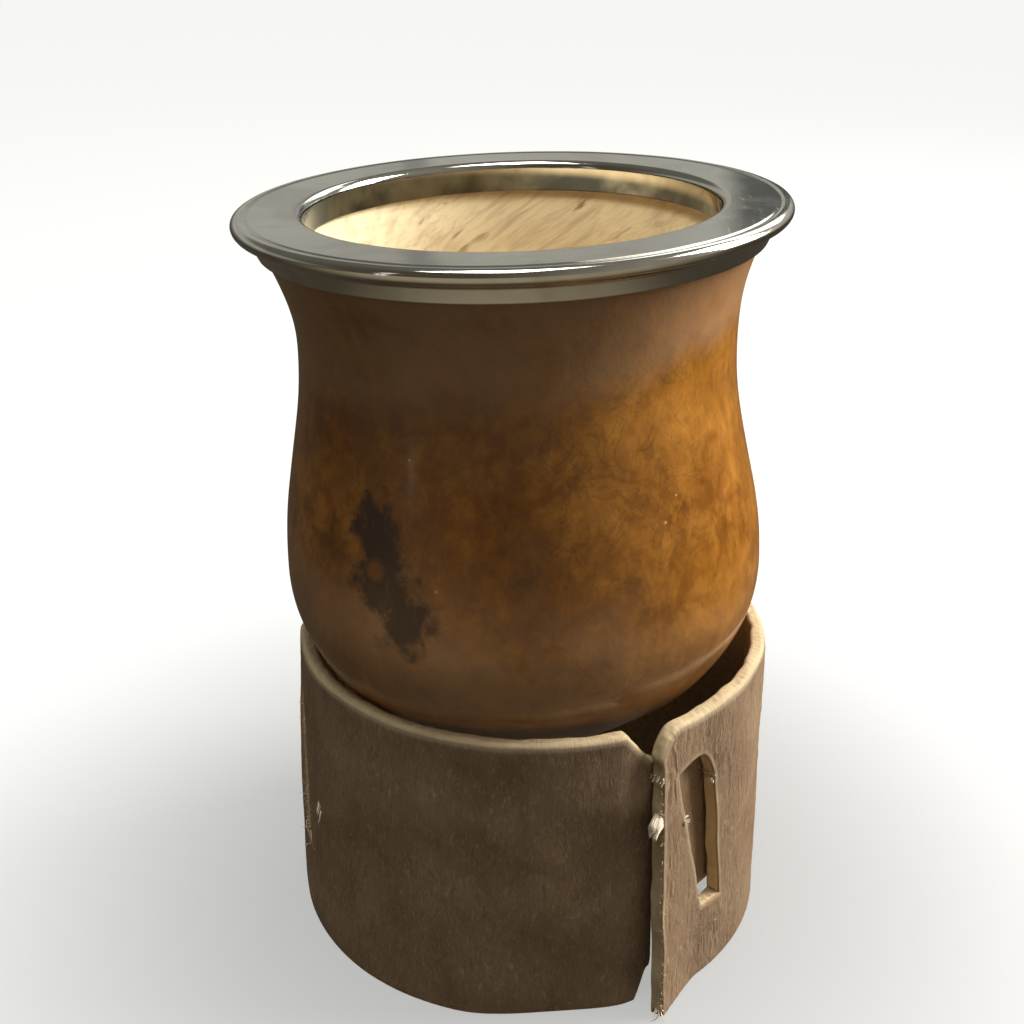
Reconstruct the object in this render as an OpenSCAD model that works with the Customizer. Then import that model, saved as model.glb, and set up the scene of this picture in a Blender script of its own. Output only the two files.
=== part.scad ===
// A drinking gourd with a metal mouth rim, standing in a ring of three
// interlocking leather panels. Millimetres, +Z up. The origin lies on the
// table, under the middle of the whole object.

/* [Gourd] */
// Outer radius of the gourd at its belly
belly_r = 39.6; // [34:0.1:48]
// Height of the belly above the table
belly_z = 67; // [62:0.5:78]
// Outer radius of the waist between the belly and the mouth
waist_r = 34.5; // [31:0.1:38]
// Height of the waist above the table
waist_z = 104; // [98:0.5:112]
// Outer radius of the gourd at its cut mouth
mouth_r = 40.4; // [36:0.1:46]
// Height of the cut mouth above the table
mouth_z = 124.2; // [118:0.1:150]
// Height of the underside of the gourd above the table
under_z = 36; // [15:0.5:37]
// Wall of the gourd at the waist
waist_wall = 4.3; // [3:0.1:5]
// Wall of the gourd at the belly
belly_wall = 5; // [3:0.1:7]
// Thickness of the gourd's floor
floor_t = 7; // [4:0.5:12]

/* [Lean] */
// How far the gourd leans in its stand, in degrees
lean = 2.1; // [0:0.1:4]
// Where the mouth leans to, in degrees counter-clockwise from +X
lean_heading = 180; // [0:5:355]
// How far the gourd sits from the stand's middle, sideways and front to back
sit_shift = [-1.3, -1.2]; // [-2:0.1:2]

/* [Metal rim] */
// Inner radius of the liner inside the mouth
bore_r = 31.8; // [28:0.1:34]
// Thickness of the sheet that lines the mouth and lies on it
sheet_t = 0.8; // [0.5:0.1:1.2]
// Radius of the rounded inner lip
lip_r = 1.2; // [0.8:0.1:1.6]
// Depth of the liner below the top of the rim
liner_depth = 5; // [3:0.1:10]
// Radius of the round bead along the outer edge
bead_r = 1.1; // [0.8:0.1:1.5]
// How far the middle of the bead lies outside the gourd's mouth
bead_out = 0.9; // [0.6:0.1:1.5]
// Depth of the outer collar below the top of the rim
collar_depth = 5.4; // [4:0.1:9]
// Gap between the metal and the gourd
rim_gap = 0.1; // [0.05:0.01:0.3]

/* [Leather stand] */
// Height of the stand
stand_h = 52; // [43:0.5:58]
// Thickness of the leather
leather_t = 2.4; // [2:0.1:4]
// How much wider the foot's radius is than the top's
foot_spread = 1.2; // [0:0.1:5]
// Clearance between the gourd and the inner top edge of the stand
seat_gap = 0.25; // [0.2:0.05:1]
// How far a panel swells outwards beside its slot
swell = 0.4; // [0:0.1:1.5]
// How far the foot of a panel is drawn in before its tongue
draw_in = 1.5; // [0:0.1:2.5]
// Place of the stand's centre, sideways and front to back
stand_place = [1.9, 0.5]; // [-3:0.1:3]

/* [Flap and slot] */
// How far the front panel's flap stands off at its top, middle and foot
front_lift = [0.2, 1.3, 0.6]; // [0:0.1:6]
// How far the right panel's flap stands off at its top, middle and foot
right_lift = [1.6, 3.2, 4.6]; // [0:0.1:6]
// How far the back panel's flap stands off at its top, middle and foot
back_lift = [1.4, 2.2, 1.8]; // [0:0.1:6]
// Radius of the rounded top corner of the flap
corner_r = 5; // [2:0.1:8]
// Height of the lower end of the slot
slot_z0 = 13.8; // [10:0.1:20]
// Distance from the top of the stand down to the upper end of the slot
slot_drop = 8.8; // [7.5:0.1:16]
// Rise of the arched top of the slot
slot_arch = 1; // [0:0.1:2]
// Left edge of the slot at its top and at its foot, in degrees from the flap's end
slot_left = [4.5, 16]; // [3:0.5:17]
// Right edge of the slot at its top and at its foot, in degrees from the flap's end
slot_right = [18.5, 22.5]; // [18:0.5:26]

/* [Tongue] */
// Clearance between the tongue and the panel that it lies behind
tongue_gap = 0.3; // [0.2:0.05:1]
// Clearance between each edge of the tongue and the end of the slot
tongue_inset = 1.2; // [0.5:0.1:3]
// Length of the tongue beyond the slot, in degrees
tongue_over = 7; // [4:0.5:12]
// Size of the cut corners where the panel narrows to its tongue
shoulder_cut = 6; // [4:0.5:7]

/* [Hidden] */
$fn = 128;

// The three panels are alike. Each reaches round one sector, from the free end
// of its flap to its shoulders, and its tongue goes on behind the next flap.
sector = 120;
front_start = 178;     // heading of the front panel's flap, counter-clockwise from +X
lift_arc = 15;         // degrees over which the flap bends away
swell_end = 45;        // degrees to where the swelling is full
draw_mid = 98;         // degrees to where the foot is drawn in most
draw_half = 24;        // half of the arc over which the foot is drawn in
blend_start = 111;     // degrees to where the panel begins to pass inwards
lift_power = 1.5;      // a flap bends most near its free end

rim_top = mouth_z + sheet_t;
slot_z1 = stand_h - slot_drop;

// ---- the gourd's outline --------------------------------------------------

// An eased step from 0 to 1
function ease(t) = (1 - cos(180 * min(1, max(0, t)))) / 2;
function mix(a, b, t) = a + (b - a) * t;

// The radius of a gourd-like outline at height z: a round base below the
// belly, an eased waist above it, and a flare that opens as the square of
// the height above the waist.
// An outline is given as [belly radius, waist radius, top radius, base z, top z].
function outline_r(o, z) =
    z < belly_z ? o[0] * sqrt(max(0, 1 - pow((belly_z - z) / (belly_z - o[3]), 2)))
    : z < waist_z ? mix(o[0], o[1], ease((z - belly_z) / (waist_z - belly_z)))
    : mix(o[1], o[2], pow(min(1, (z - waist_z) / (o[4] - waist_z)), 2));

liner_z = rim_top - liner_depth;
SKIN = [belly_r, waist_r, mouth_r, under_z, mouth_z];
HOLLOW = [belly_r - belly_wall, waist_r - waist_wall, bore_r + sheet_t + rim_gap,
    under_z + floor_t, liner_z];

function gourd_r(z) = outline_r(SKIN, z);

// The same outline as points, from its pole up to its top
function outline_points(o, steps = 14) = concat(
    [for (i = [0 : steps - 1]) let (a = 90 * (i / steps - 1))
        [o[0] * cos(a), belly_z + (belly_z - o[3]) * sin(a)]],
    [for (i = [0 : steps]) let (z = mix(belly_z, waist_z, i / steps)) [outline_r(o, z), z]],
    [for (i = [1 : steps / 2]) let (z = mix(waist_z, o[4], i / (steps / 2)))
        [outline_r(o, z), z]]);

function flip(list) = [for (i = [len(list) - 1 : -1 : 0]) list[i]];

// The gourd and its rim lean about a point beside the middle of the stand's top
module leaned()
    translate([stand_place[0] + sit_shift[0], stand_place[1] + sit_shift[1], stand_h])
        rotate(a = lean, v = [-sin(lean_heading), cos(lean_heading), 0])
            translate([0, 0, -stand_h]) children();

module gourd()
    color("#7a4a1e") leaned() rotate_extrude()
        polygon(concat(outline_points(SKIN), [[HOLLOW[2], mouth_z]],
            flip(outline_points(HOLLOW))));

// ---- the metal rim ----------------------------------------------------------

// Points on an arc, from angle a0 to a1
function arc(c, r, a0, a1, steps = 10) =
    [for (i = [0 : steps]) let (a = mix(a0, a1, i / steps)) c + r * [cos(a), sin(a)]];

// The gourd's flare, moved outwards by d, from height z0 to z1
function flare(z0, z1, d, steps = 5) =
    [for (i = [0 : steps]) let (z = mix(z0, z1, i / steps)) [gourd_r(z) + d, z]];

module metal_rim() {
    bead_c = [mouth_r + rim_gap + bead_out, rim_top - bead_r];
    collar_z = rim_top - collar_depth;
    collar_top = bead_c[1] - bead_r - sheet_t;
    lip_c = [bore_r + lip_r, rim_top - lip_r];
    color("silver") leaned() rotate_extrude()
        polygon(concat(
            [[bore_r, liner_z]],
            arc(lip_c, lip_r, 180, 90),
            arc(bead_c, bead_r, 90, -90, 16),
            flare(collar_top, collar_z, rim_gap + sheet_t),
            flare(collar_z, mouth_z, rim_gap),
            [[bore_r + sheet_t, mouth_z], [bore_r + sheet_t, liner_z]]));
}

// ---- the leather panels ------------------------------------------------------

// Room for the gourd's lean at the height where it sits in the stand
lean_room = gourd_r(stand_h) * tan(lean) * (gourd_r(stand_h + 0.5) - gourd_r(stand_h - 0.5));
seat_r = gourd_r(stand_h) + lean_room + norm(sit_shift) + seat_gap;

// Outer radius of the plain ring at height z
function ring_r(z) = seat_r + leather_t + foot_spread * (1 - z / stand_h);

// How near a height is to the foot, from 0 at the top to 1 at the foot
function foot(z) = 1 - z / stand_h;

// How far a flap's free end stands off at height z: the lift is given at the
// top, the middle and the foot, and passes smoothly through the three
function stand_off(lift, z) = let (k = foot(z))
    lift[0] * (1 - k) * (1 - 2 * k) + 4 * lift[1] * k * (1 - k) + lift[2] * k * (2 * k - 1);

// How much of the flap's lift is left, f degrees from its end
function lifted(f) = pow(max(0, 1 - f / lift_arc), lift_power);

function swelling(f, z) = swell * mix(0.4, 1, foot(z)) * (1 - ease((f - swell_end) / swell_end));
function drawn(f, z) = -draw_in * foot(z) * ease(1 - abs(f - draw_mid) / draw_half);

// How far a panel's outer face lies outside the plain ring, f degrees from
// the flap's end: lifted at the flap, swollen beside the slot, drawn in at
// the foot before the shoulders, and behind the next panel from there on.
function body_out(lift, f, z) = stand_off(lift, z) * lifted(f) + swelling(f, z) + drawn(f, z);
function tongue_out(next, f, z) = min(next) * lifted(f) + swelling(f, z)
    - leather_t - tongue_gap;
function panel_out(lift, next, f, z) = f < blend_start ? body_out(lift, f, z)
    : mix(body_out(lift, f, z), tongue_out(next, max(0, f - sector), z),
        ease((f - blend_start) / (sector - blend_start)));

// A point on a panel's outer face, and one at a depth behind it
function face_point(lift, next, f, z) =
    (ring_r(z) + panel_out(lift, next, f, z)) * [cos(f), sin(f)];
function panel_point(lift, next, f, z, depth) =
    let (p = face_point(lift, next, f, z),
         d = face_point(lift, next, f + 0.1, z) - face_point(lift, next, f - 0.1, z),
         q = p - depth * [d[1], -d[0]] / norm(d))
    [q[0], q[1], z];

// Columns of the grid. Each stretch is [degrees at the top, degrees at the
// foot, number of columns], counted from the end of the stretch before it.
tongue_start = sector + 1;
tongue_end = sector + slot_right[1] + tongue_over;
STRETCHES = [
    [slot_left[0], slot_left[1], 5],
    [slot_right[0], slot_right[1], 4],
    [swell_end, swell_end, 5],
    [sector - shoulder_cut, sector - shoulder_cut, 12],
    [tongue_start, tongue_start, 4],
    [tongue_end, tongue_end, 8]];
slot_first = STRETCHES[0][2];
slot_last = slot_first + STRETCHES[1][2];
tongue_first = slot_last + STRETCHES[2][2] + STRETCHES[3][2] + STRETCHES[4][2];
columns = tongue_first + STRETCHES[5][2];

// Degrees at column i, measured at the top (side 0) or the foot (side 1)
function column_edge(i, side, s = 0, from = 0, at = 0) =
    i <= from + STRETCHES[s][2]
        ? mix(at, STRETCHES[s][side], (i - from) / STRETCHES[s][2])
        : column_edge(i, side, s + 1, from + STRETCHES[s][2], STRETCHES[s][side]);

// Rows of the grid: two below the slot, six beside it and two above it
low_rows = 2;
slot_rows = 6;
high_rows = 2;
rows = low_rows + slot_rows + high_rows;

// The panel's upper edge: a rounded corner at the flap, a cut one at the shoulder
function top_z(f) = let (s = f * PI / 180 * ring_r(stand_h))
    stand_h - (s < corner_r ? corner_r - sqrt(pow(corner_r, 2) - pow(corner_r - s, 2)) : 0)
    - max(0, min(1, (f - sector + shoulder_cut) / shoulder_cut)) * shoulder_cut;
function base_z(f) = max(0, min(1, (f - sector + shoulder_cut / 2) / (shoulder_cut / 2)))
    * shoulder_cut;

// The height of row j: the rows beside the slot narrow to the tongue's width
function row_z(f, i, j) =
    let (narrow = ease((f - swell_end) / swell_end) * tongue_inset,
         z0 = slot_z0 + narrow,
         z1 = slot_z1 - narrow
            + (i > slot_first && i < slot_last
                ? slot_arch * sin(180 * (i - slot_first) / (slot_last - slot_first)) : 0))
    j <= low_rows ? mix(base_z(f), z0, j / low_rows)
    : j <= low_rows + slot_rows ? mix(z0, z1, (j - low_rows) / slot_rows)
    : mix(z1, top_z(f), (j - low_rows - slot_rows) / high_rows);

function grid_point(lift, next, i, j, depth) =
    let (level = (j - low_rows) / slot_rows,
         f = mix(column_edge(i, 1), column_edge(i, 0), max(0, min(1, level))))
    panel_point(lift, next, f, row_z(f, i, j), depth);

// Whether a cell of the grid is leather: not in the slot, and beside the
// tongue only where the tongue is
function beside_slot(j) = j >= low_rows && j < low_rows + slot_rows;
function is_leather(i, j) = i >= 0 && i < columns && j >= 0 && j < rows
    && !(i >= slot_first && i < slot_last && beside_slot(j))
    && (i < tongue_first || beside_slot(j));

// Two triangles for a four-cornered face
function halves(a, b, c, d) = [[a, b, c], [a, c, d]];

// A panel whose flap begins at a heading. lift is how far its own flap stands
// off, and next that of the flap that its tongue lies behind.
module panel(start, lift, next) {
    across = rows + 1;
    layer = (columns + 1) * across;
    function at(i, j, side) = side * layer + i * across + j;
    points = [for (side = [0, 1]) for (i = [0 : columns]) for (j = [0 : rows])
        grid_point(lift, next, i, j, side * leather_t)];
    faces = [for (i = [0 : columns - 1]) for (j = [0 : rows - 1]) if (is_leather(i, j))
        each concat(
            halves(at(i, j, 0), at(i, j + 1, 0), at(i + 1, j + 1, 0), at(i + 1, j, 0)),
            halves(at(i, j, 1), at(i + 1, j, 1), at(i + 1, j + 1, 1), at(i, j + 1, 1)),
            is_leather(i - 1, j) ? []
                : halves(at(i, j, 0), at(i, j, 1), at(i, j + 1, 1), at(i, j + 1, 0)),
            is_leather(i + 1, j) ? []
                : halves(at(i + 1, j, 0), at(i + 1, j + 1, 0), at(i + 1, j + 1, 1), at(i + 1, j, 1)),
            is_leather(i, j - 1) ? []
                : halves(at(i, j, 0), at(i + 1, j, 0), at(i + 1, j, 1), at(i, j, 1)),
            is_leather(i, j + 1) ? []
                : halves(at(i, j + 1, 0), at(i, j + 1, 1), at(i + 1, j + 1, 1), at(i + 1, j + 1, 0)))];
    translate([stand_place[0], stand_place[1], 0]) rotate([0, 0, start])
        polyhedron(points = points, faces = faces, convexity = 6);
}

module leather_front()
    color("#6b5240") panel(front_start, front_lift, right_lift);

module leather_right()
    color("#97806a") panel(front_start + sector, right_lift, back_lift);

module leather_back()
    color("#806a56") panel(front_start + 2 * sector, back_lift, front_lift);

gourd();
metal_rim();
leather_front();
leather_right();
leather_back();
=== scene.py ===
"""Looks of a gourd cup with a metal mouth rim, standing in a ring of three
interlocking leather panels. Metres, +Z up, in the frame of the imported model."""
import math

import bpy
import numpy as np
from bpy.props import FloatProperty, FloatVectorProperty, IntProperty, PointerProperty
from mathutils import Matrix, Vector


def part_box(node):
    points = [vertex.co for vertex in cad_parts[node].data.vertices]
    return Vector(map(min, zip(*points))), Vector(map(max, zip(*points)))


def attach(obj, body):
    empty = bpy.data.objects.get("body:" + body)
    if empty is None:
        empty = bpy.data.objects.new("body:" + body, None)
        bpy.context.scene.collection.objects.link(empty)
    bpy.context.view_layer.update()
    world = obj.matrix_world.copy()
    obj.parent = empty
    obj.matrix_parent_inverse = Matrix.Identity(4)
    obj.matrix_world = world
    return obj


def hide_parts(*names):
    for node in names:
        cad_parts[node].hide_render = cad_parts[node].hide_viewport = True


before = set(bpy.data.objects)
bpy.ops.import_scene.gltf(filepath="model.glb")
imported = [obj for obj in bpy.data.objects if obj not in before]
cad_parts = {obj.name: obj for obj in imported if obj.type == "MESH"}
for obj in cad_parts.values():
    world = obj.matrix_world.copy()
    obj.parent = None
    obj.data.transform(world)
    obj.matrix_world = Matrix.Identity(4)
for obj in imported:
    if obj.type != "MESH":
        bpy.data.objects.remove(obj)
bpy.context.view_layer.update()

bl_info = {
    "name": "Gourd cup in a leather stand",
    "version": (1, 0, 0),
    "blender": (4, 5, 0),
    "location": "View3D > Sidebar > Gourd Cup",
    "description": "Builds a lacquered gourd cup, its metal rim and its leather stand",
    "category": "Add Mesh",
}

BODY = "root"
MM = 0.001
STAND_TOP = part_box("leather_front")[1].z
PANELS = {"front": 0, "right": 1, "back": 2}

# Rows and columns of the turned surfaces
GOURD_COLUMNS = 272
SKIN_ROWS = 214
HOLLOW_ROWS = 150
RIM_COLUMNS = 420
RIM_ROWS = 210
FLOOR_LINES = 9

# Patches of loose fibres: panel, count, ranges of degrees from the flap's end, height
# and depth below the face, mean heading along, up and outwards, ranges of length and
# thickness, all in millimetres, and how far the headings and bends differ
FIBRES = [
    ("right", 60, (-0.1, 0.2), (35.9, 37.9), (0.2, 1.6), (-1.0, -0.08, 0.3),
     (2.4, 3.1), (0.16, 0.30), 0.05),
    ("right", 30, (0.0, 0.4), (43.4, 44.6), (0.0, 2.6), (-0.8, 0.1, 0.3),
     (0.3, 0.9), (0.05, 0.10), 0.2),
    ("right", 90, (0.0, 0.3), (2.0, 42.0), (-0.1, 0.5), (-0.5, 0.5, 0.3),
     (0.3, 0.8), (0.04, 0.08), 0.3),
    ("right", 70, (18.1, 18.9), (37.2, 38.9), (0.0, 2.4), (-0.5, 0.7, 0.2),
     (0.4, 1.1), (0.08, 0.16), 0.2),
    ("right", 90, (15.5, 22.5), (6.5, 13.4), (0.0, 0.1), (0.1, 0.9, 0.15),
     (0.6, 1.9), (0.03, 0.06), 0.2),
    ("right", 40, (12.5, 16.0), (9.0, 18.0), (0.0, 0.1), (0.1, 0.9, 0.15),
     (0.5, 1.4), (0.03, 0.06), 0.2),
    ("right", 10, (0.0, 1.0), (0.5, 1.6), (0.0, 1.5), (-0.9, 0.3, 0.3),
     (1.0, 2.0), (0.10, 0.16), 0.25),
    ("right", 12, (6.9, 7.3), (33.2, 34.6), (-0.1, 0.4), (0.5, 0.5, 0.3),
     (0.8, 1.5), (0.20, 0.34), 0.12),
    ("front", 70, (4.0, 17.0), (14.0, 42.0), (0.0, 2.6), (0.4, 0.5, 0.4),
     (0.5, 1.8), (0.05, 0.12), 0.3),
    ("front", 50, (16.0, 24.0), (12.0, 27.0), (0.0, 0.4), (0.5, 0.5, 0.4),
     (0.5, 1.6), (0.05, 0.10), 0.3),
    ("front", 16, (29.5, 31.5), (24.5, 27.0), (0.0, 0.2), (0.7, -0.6, 0.4),
     (0.9, 1.9), (0.14, 0.26), 0.15),
    ("back", 70, (4.0, 23.0), (12.0, 42.0), (0.0, 1.5), (0.1, 0.7, 0.35),
     (0.4, 1.4), (0.04, 0.08), 0.3),
]

# Soft lights: name, place in metres, width, height, name of the power setting, colour
LIGHTS = [
    ("key light", (0.55, 0.12, 0.42), 0.35, 0.5, "key_power", (1.0, 0.97, 0.92)),
    ("back light", (0.30, 0.62, 0.50), 0.5, 0.3, "back_power", (1.0, 0.98, 0.93)),
    ("top light", (-0.05, -0.07, 0.75), 0.35, 0.35, "top_power", (1.0, 1.0, 1.0)),
    ("strip light", (-0.37, -0.33, 0.20), 0.04, 0.35, "strip_power", (1.0, 1.0, 1.0)),
]
LIT_PLACE = (0.0, 0.0, 0.07)


# ---- settings --------------------------------------------------------------

def length(name, description, millimetres):
    """A length that a user can change, given in millimetres."""
    return FloatProperty(name=name, description=description, default=millimetres * MM,
                         unit="LENGTH", subtype="DISTANCE", precision=5)


def angle(name, description, degrees):
    """An angle that a user can change, given in degrees."""
    return FloatProperty(name=name, description=description, default=math.radians(degrees),
                         unit="ROTATION", subtype="ANGLE")


def number(name, description, value):
    """A plain number that a user can change."""
    return FloatProperty(name=name, description=description, default=value, precision=4)


def linear(level):
    """A display level from 0 to 255 as linear light."""
    share = level / 255
    return share / 12.92 if share <= 0.04045 else ((share + 0.055) / 1.055) ** 2.4


def tint(name, description, red, green, blue):
    """A colour that a user can change, given in display levels from 0 to 255."""
    return FloatVectorProperty(name=name, description=description, subtype="COLOR", size=3,
                               min=0, max=1, default=[linear(x) for x in (red, green, blue)])


class GourdSettings(bpy.types.PropertyGroup):
    """Sizes and colours of the gourd."""
    belly_radius: length("Belly radius", "Outer radius at the belly", 39.6)
    belly_height: length("Belly height", "Height of the belly above the table", 67)
    waist_radius: length("Waist radius", "Outer radius at the waist", 34.5)
    waist_height: length("Waist height", "Height of the waist above the table", 104)
    mouth_radius: length("Mouth radius", "Outer radius at the cut mouth", 40.4)
    mouth_height: length("Mouth height", "Height of the cut mouth", 124.2)
    underside: length("Underside", "Height of the gourd's underside", 36)
    waist_wall: length("Waist wall", "Wall thickness at the waist", 4.3)
    belly_wall: length("Belly wall", "Wall thickness at the belly", 5)
    floor: length("Floor", "Thickness of the gourd's floor", 7)
    unevenness: length("Unevenness", "How far the skin strays from a turned shape", 0.32)
    lean: angle("Lean", "How far the gourd leans in its stand", 2.1)
    lean_heading: angle("Lean heading", "Where the mouth leans to", 180)
    shift_x: length("Shift, sideways", "Distance from the stand's middle", -1.3)
    shift_y: length("Shift, front to back", "Distance from the stand's middle", -1.2)
    amber: tint("Amber", "Lightest lacquered skin", 205, 138, 52)
    brown: tint("Brown", "Middle tone of the skin", 142, 86, 18)
    olive: tint("Olive brown", "Darker clouds in the skin", 100, 60, 13)
    umber: tint("Umber", "Darkest blotches", 38, 17, 6)
    haze: tint("Haze", "Grey bloom near the mouth and the stand", 204, 160, 118)
    bare: tint("Bare wood", "Scraped inner wall", 250, 232, 190)
    fleck: tint("Fleck", "Fibres left in the inner wall", 150, 108, 58)


class RimSettings(bpy.types.PropertyGroup):
    """Sizes and colours of the metal rim."""
    bore_radius: length("Bore radius", "Inner radius of the liner", 31.8)
    sheet: length("Sheet", "Thickness of the metal sheet", 0.8)
    lip_radius: length("Lip radius", "Radius of the inner lip", 1.2)
    liner_depth: length("Liner depth", "Depth of the liner below the rim's top", 5)
    bead_radius: length("Bead radius", "Radius of the bead along the outer edge", 1.1)
    bead_out: length("Bead reach", "How far the bead lies outside the gourd's mouth", 0.9)
    collar_depth: length("Collar depth", "Depth of the collar below the rim's top", 5.4)
    clearance: length("Clearance", "Gap between the metal and the gourd", 0.1)
    dent: length("Dents", "Depth of the soft dents in the sheet", 0.012)
    groove: length("Groove", "Depth of the line beside the bead", 0.12)
    metal: tint("Metal", "Polished nickel silver", 208, 204, 192)
    dull: tint("Dull metal", "Handled and tarnished metal", 165, 157, 140)
    # Colour of the painted shade on the liner inside the mouth.
    shade: tint("Liner", "Cool tarnished metal inside the mouth", 104, 118, 130)


class LeatherSettings(bpy.types.PropertyGroup):
    """Sizes and colours of the leather panels."""
    thickness: length("Thickness", "Thickness of the leather", 2.4)
    foot_spread: length("Foot spread", "How much wider the foot is than the top", 1.2)
    seat_gap: length("Seat gap", "Clearance between the gourd and the stand", 0.25)
    swell: length("Swell", "Outward swelling beside a slot", 0.4)
    draw_in: length("Draw in", "How far the foot is drawn in before a tongue", 1.5)
    place_x: length("Place, sideways", "The ring's centre, sideways", 1.9)
    place_y: length("Place, front to back", "The ring's centre, front to back", 0.5)
    first_heading: angle("First heading", "Heading of the front panel's flap", 178)
    corner: length("Corner", "Radius of the flap's top corner", 5)
    slot_foot: length("Slot foot", "Height of the slot's lower end", 13.8)
    slot_drop: length("Slot drop", "From the stand's top down to the slot", 8.8)
    slot_arch: length("Slot arch", "Rise of the slot's arched top", 1)
    tongue_gap: length("Tongue gap", "Clearance behind the next panel", 0.3)
    tongue_inset: length("Tongue inset", "Clearance at the slot's ends", 1.2)
    shoulder: length("Shoulder", "Size of the cut corners before the tongue", 6)
    wrinkle: length("Wrinkles", "Depth of the upright wrinkles", 0.075)
    wander: length("Cut wander", "How far a hand-cut edge strays", 0.2)
    column_step: length("Column step", "Width of a cell of the surface", 0.27)
    row_step: length("Row step", "Height of a cell of the surface", 0.8)
    grain: tint("Grain side", "Smooth side of the hide", 164, 136, 108)
    grain_dark: tint("Grain shadows", "Dark streaks of the grain side", 108, 83, 60)
    grain_light: tint("Grain streaks", "Pale worn streaks of the grain side", 205, 184, 152)
    cut: tint("Cut edge", "Cream core of the hide", 208, 186, 146)
    ochre: tint("Ochre line", "Tanned line under the grain", 166, 104, 42)
    flesh: tint("Flesh side", "Rough inner side of the hide", 176, 152, 118)
    fibre: tint("Fibres", "Loose fibres at the cuts", 236, 222, 202)


class StageSettings(bpy.types.PropertyGroup):
    """Camera, floor and light."""
    camera_x: length("Camera, sideways", "Place of the camera", -0.12)
    camera_y: length("Camera, front to back", "Place of the camera", -214.34)
    camera_z: length("Camera height", "Place of the camera", 169.1)
    pitch: angle("Pitch", "How far the camera looks down", 24.28)
    yaw: angle("Yaw", "How far the camera turns to the right", -0.43)
    roll: angle("Roll", "How far the camera is tipped", 0.29)
    lens: number("Lens", "Focal length in millimetres on a 36 mm sensor", 49.1)
    floor_size: FloatProperty(name="Floor size", description="Half the width of the floor",
                              default=7.0, unit="LENGTH", subtype="DISTANCE")
    floor_tint: tint("Floor", "Pale floor", 236, 236, 234)
    key_power: number("Key light", "Strength of the softbox on the right", 7.6)
    back_power: number("Back light", "Strength of the softbox behind, on the right", 1.2)
    top_power: number("Top light", "Strength of the softbox overhead", 3.3)
    strip_power: number("Strip light", "Strength of the narrow light on the left", 0.035)
    floor_glow: number("Floor light", "Evenness of the floor's brightness", 1.04)
    room: number("Room light", "Strength of the light from all round", 1.0)
    seed: IntProperty(name="Seed", description="Which scatter of fibres is made", default=5)


# ---- shapes ----------------------------------------------------------------

def eased(t):
    """A half cosine that climbs from 0 to 1 as t goes from 0 to 1."""
    return (1 - np.cos(np.pi * np.clip(t, 0, 1))) / 2


def between(a, b, t):
    """The value a share t of the way from a to b."""
    return a + (b - a) * t


def unit(vectors):
    """Vectors divided by their own length."""
    return vectors / np.maximum(np.linalg.norm(vectors, axis=-1, keepdims=True), 1e-12)


def hills(seed, wave, *coordinates, count=14):
    """Smooth unevenness of about -1 to 1: a sum of sines in seeded directions, with
    wavelengths from 0.6 to 1.7 times wave."""
    draw = np.random.default_rng(seed)
    heading = unit(draw.normal(size=(count, len(coordinates))))
    heading *= (2 * np.pi / (wave * draw.uniform(0.6, 1.7, count)))[:, None]
    phase = draw.uniform(0, 2 * np.pi, count)
    total = 0
    for turn, start in zip(heading, phase):
        total = total + np.sin(sum(k * x for k, x in zip(turn, coordinates)) + start)
    return total / math.sqrt(count)


def solid(name, points, quads, triangles=None, uv=None, marks=None):
    """A smooth mesh object from arrays: points, faces, a map of the surface given
    per point, and named numbers per point. Points that no face uses are left out."""
    triangles = np.zeros((0, 3), int) if triangles is None else triangles
    corners = np.concatenate([quads.ravel(), triangles.ravel()])
    used, corners = np.unique(corners, return_inverse=True)
    corners = corners.ravel()
    sizes = np.concatenate([np.full(len(quads), 4), np.full(len(triangles), 3)])
    mesh = bpy.data.meshes.new(name)
    mesh.vertices.add(len(used))
    mesh.vertices.foreach_set("co", points[used].astype(np.float32).ravel())
    mesh.loops.add(len(corners))
    mesh.loops.foreach_set("vertex_index", corners.astype(np.int32))
    mesh.polygons.add(len(sizes))
    mesh.polygons.foreach_set("loop_start", (np.cumsum(sizes) - sizes).astype(np.int32))
    mesh.update(calc_edges=True)
    mesh.polygons.foreach_set("use_smooth", np.ones(len(sizes), bool))
    if uv is not None:
        layer = mesh.uv_layers.new(name="surface")
        layer.data.foreach_set("uv", uv[used][corners].astype(np.float32).ravel())
    for mark, values in (marks or {}).items():
        attribute = mesh.attributes.new(mark, "FLOAT", "POINT")
        attribute.data.foreach_set("value", values[used].astype(np.float32))
    mesh.update()
    piece = bpy.data.objects.new(name, mesh)
    bpy.context.scene.collection.objects.link(piece)
    return piece


def grid_quads(numbers):
    """The four-cornered faces between neighbouring rows and columns of a grid of
    point numbers. The normal is the row direction turned into the column direction."""
    return np.stack([numbers[:-1, :-1], numbers[1:, :-1], numbers[1:, 1:], numbers[:-1, 1:]],
                    axis=-1).reshape(-1, 4)


def leaned(points, gourd, leather):
    """Points turned about the middle of the stand's top by the gourd's lean, about
    the level axis square to the heading it leans to."""
    heading = gourd.lean_heading
    turn = Matrix.Rotation(gourd.lean, 3, (-math.sin(heading), math.cos(heading), 0))
    centre = np.array([leather.place_x + gourd.shift_x, leather.place_y + gourd.shift_y,
                       STAND_TOP])
    return (points - [0, 0, STAND_TOP]) @ np.array(turn).T + centre


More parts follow.
